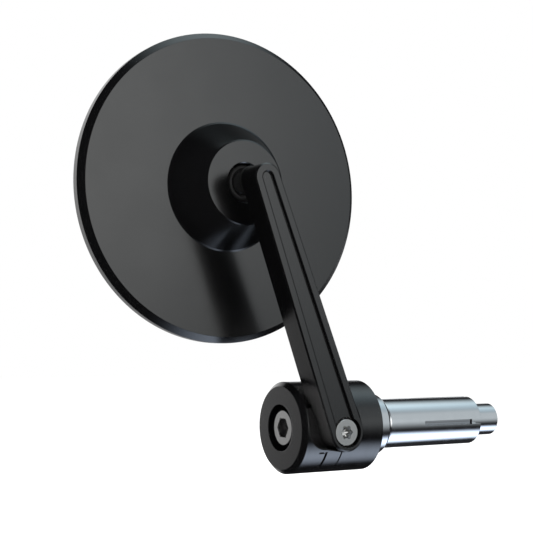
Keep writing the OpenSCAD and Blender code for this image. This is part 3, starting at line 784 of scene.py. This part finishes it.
def makeGlass(s):
    def dome(top):
        edge = math.sqrt(s["curve"] ** 2 - s["radius"] ** 2)
        radii = [s["radius"] * k / s["steps"] for k in range(s["steps"] + 1)]
        return [(r, edge - top - math.sqrt(s["curve"] ** 2 - r ** 2), 0) for r in radii]

    inner, outer = dome(s["edgeAt"]), dome(s["edgeAt"] + s["thick"])
    rim = [(*inner[-1][:2], 0.1), (*outer[-1][:2], s["ground"])]
    corners = inner[:-1] + rim + outer[:-1][::-1]
    place = upright(headMiddle.x, headPlane, headMiddle.z)
    return turned("mirrorGlass", corners, place, edge=0, points=240, steps=4)


glassFinish = makeFinish("mirrorSilver", finishes["mirrorSilver"], headCentre, frontTurn)
finishPiece(makeGlass(glass), glassFinish, "head", "mirror_glass")

# Small pieces that stay as they are

kept = {
    "clamp_washer": steelBar, "cup_washer": steelPivot,
    "pivot_bush": makeFinish("brassAtPivot", finishes["bushBrass"], pivotCentre, frontTurn),
    "thrust_washer": makeFinish("thrustPlastic", finishes["slidePlastic"]),
    "friction_washer": makeFinish("frictionPlastic", finishes["slidePlastic"]),
    "ball_seat_ring": makeFinish("seatPlastic", finishes["seatPlastic"]),
    "ball_pad": makeFinish("padPlastic", finishes["slidePlastic"]),
    "preload_washer": makeFinish("steelInHead", finishes["screwSteel"], headCentre, frontTurn),
    "socket_cover": makeFinish("coverBright", finishes["turnedAluminium"], headCentre, frontTurn),
    "cover_screws": makeFinish("coverScrewSteel", finishes["screwSteel"], headCentre, frontTurn),
    "glass_pad": makeFinish("padFoam", finishes["padFoam"]),
}
for node, material in kept.items():
    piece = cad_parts[node]
    for place in piece.material_slots:
        place.material = material
    if not piece.material_slots:
        piece.data.materials.append(material)
print("kept", len(kept), "nodes with new finishes")

# Stage, light and camera

stage = {"floorZ": -90.0, "floorSize": 6000.0, "floorColour": 0.82, "floorGlow": 0.80}


def makeFloor(s):
    bm = bmesh.new()
    bmesh.ops.create_grid(bm, x_segments=1, y_segments=1, size=s["floorSize"] * 0.0005)
    bm.transform(Matrix.Translation((0, 0, s["floorZ"] * 0.001)))
    floor = meshObject("studioFloor", bm)
    material = bpy.data.materials.new("studioFloor")
    material.use_nodes = True
    tree = material.node_tree
    tree.nodes.clear()
    output = tree.nodes.new("ShaderNodeOutputMaterial")
    plain = tree.nodes.new("ShaderNodeBsdfDiffuse")
    plain.inputs[0].default_value = (s["floorColour"],) * 3 + (1,)
    glow = tree.nodes.new("ShaderNodeEmission")
    path = tree.nodes.new("ShaderNodeLightPath")
    strength = mathNode(tree, "MULTIPLY", path.outputs["Is Camera Ray"], s["floorGlow"])
    tree.links.new(strength, glow.inputs["Strength"])
    both = tree.nodes.new("ShaderNodeAddShader")
    tree.links.new(plain.outputs[0], both.inputs[0])
    tree.links.new(glow.outputs[0], both.inputs[1])
    tree.links.new(both.outputs[0], output.inputs[0])
    floor.data.materials.append(material)
    floor.visible_glossy = False
    return floor


makeFloor(stage)

# The studio that the metal sees: soft boxes by direction, full inside the inner angle
# and gone at the outer one, both in degrees; a cut ends a box along a straight edge
studio = {
    "base": (0.022, 0.022, 0.024),
    "boxes": [
        dict(toward=(0.20, -0.96, 0.17), inner=6, outer=27, colour=(1.22, 1.22, 1.20)),
        dict(toward=(0.66, -0.68, 0.31), inner=10, outer=43, colour=(0.49, 0.53, 0.55)),
        dict(toward=(0.68, -0.18, 0.71), inner=4, outer=28, colour=(0.12, 0.18, 0.22)),
        dict(toward=(0.33, 0.03, 0.94), inner=4, outer=41, colour=(0.90, 1.06, 1.12)),
        dict(toward=(0.49, -0.28, -0.83), inner=0, outer=38, colour=(2.00, 2.30, 2.80),
             cut=((0, -0.3, -0.954), 0.62, 0.76)),
        dict(toward=(0.00, 0.98, 0.08), inner=14, outer=42, colour=(1.20, 1.20, 1.20)),
    ],
    "fill": 0.32,
}


def makeWorld(s):
    world = bpy.data.worlds.new("studioWorld")
    bpy.context.scene.world = world
    world.use_nodes = True
    tree = world.node_tree
    tree.nodes.clear()
    output = tree.nodes.new("ShaderNodeOutputWorld")
    direction = tree.nodes.new("ShaderNodeTexCoord").outputs["Generated"]
    total = None
    for box in s["boxes"]:
        dot = dotNode(tree, direction, Vector(box["toward"]).normalized())
        away = mathNode(tree, "DEGREES", mathNode(tree, "ARCCOSINE", dot))
        strength = ramp(tree, away, box["outer"], box["inner"])
        if "cut" in box:
            side, low, high = box["cut"]
            below = ramp(tree, dotNode(tree, direction, side), low, high)
            strength = mathNode(tree, "MULTIPLY", strength, below)
        add = tree.nodes.new("ShaderNodeVectorMath")
        add.operation = "MULTIPLY_ADD"
        tree.links.new(strength, add.inputs[0])
        add.inputs[1].default_value = box["colour"]
        if total is None:
            add.inputs[2].default_value = s["base"]
        else:
            tree.links.new(total, add.inputs[2])
        total = add.outputs[0]
    path = tree.nodes.new("ShaderNodeLightPath")
    seen = tree.nodes.new("ShaderNodeBackground")
    seen.inputs[0].default_value = (1, 1, 1, 1)
    mirrored = tree.nodes.new("ShaderNodeBackground")
    tree.links.new(total, mirrored.inputs[0])
    plain = tree.nodes.new("ShaderNodeBackground")
    plain.inputs[0].default_value = (1, 1, 1, 1)
    plain.inputs[1].default_value = s["fill"]
    sharpRay = mathNode(tree, "MAXIMUM", path.outputs["Is Glossy Ray"], path.outputs["Is Transmission Ray"])
    glossy = tree.nodes.new("ShaderNodeMixShader")
    tree.links.new(sharpRay, glossy.inputs[0])
    tree.links.new(plain.outputs[0], glossy.inputs[1])
    tree.links.new(mirrored.outputs[0], glossy.inputs[2])
    camera = tree.nodes.new("ShaderNodeMixShader")
    tree.links.new(path.outputs["Is Camera Ray"], camera.inputs[0])
    tree.links.new(glossy.outputs[0], camera.inputs[1])
    tree.links.new(seen.outputs[0], camera.inputs[2])
    tree.links.new(camera.outputs[0], output.inputs[0])


makeWorld(studio)

lamps = {
    "sideLamp": dict(place=(-760, -420, 160), aim=(-28, -12, 0), size=420, power=9.0, colour=(1, 1, 1)),
    "keyLamp": dict(place=(520, -620, 620), aim=(-20, 0, 40), size=520, power=7.5, colour=(1.0, 0.99, 0.97)),
    "topLamp": dict(place=(-60, -120, 800), aim=(-20, 0, 20), size=600, power=4.5, colour=(0.96, 0.98, 1.0)),
    "backLamp": dict(place=(-420, 620, 380), aim=(-20, 0, 40), size=480, power=5.0, colour=(1, 1, 1)),
    "glassCard": dict(place=(125, 173, 12), aim=(-45, 3, 69), size=170, power=0.042, colour=(0.94, 0.97, 1.0),
                      mirrored=True),
}


def makeLamp(name, s):
    light = bpy.data.lights.new(name, "AREA")
    light.shape = "DISK"
    light.size = s["size"] * 0.001
    light.energy = s["power"]
    light.color = s["colour"]
    lamp = bpy.data.objects.new(name, light)
    lamp.location = Vector(s["place"]) * 0.001
    lamp.rotation_euler = (Vector(s["place"]) - Vector(s["aim"])).to_track_quat("Z", "Y").to_euler()
    lamp.visible_camera = False
    lamp.visible_glossy = s.get("mirrored", False)
    bpy.context.scene.collection.objects.link(lamp)


for name, settings in lamps.items():
    makeLamp(name, settings)

# The camera stands where the photograph's outlines put it
photoView = {"place": (-200.955, -280.227, 24.889), "look": (0.50232, 0.86236, 0.06359), "lens": 77.556}


def makeCamera(s):
    lens = bpy.data.cameras.new("photoCamera")
    lens.sensor_width = 36
    lens.lens = s["lens"]
    lens.clip_start = 0.01
    lens.clip_end = 50
    camera = bpy.data.objects.new("photoCamera", lens)
    camera.location = Vector(s["place"]) * 0.001
    camera.rotation_euler = Vector(s["look"]).to_track_quat("-Z", "Y").to_euler()
    bpy.context.scene.collection.objects.link(camera)
    bpy.context.scene.camera = camera


makeCamera(photoView)
bpy.context.scene.view_settings.view_transform = "Standard"
print("stage, light and camera set")
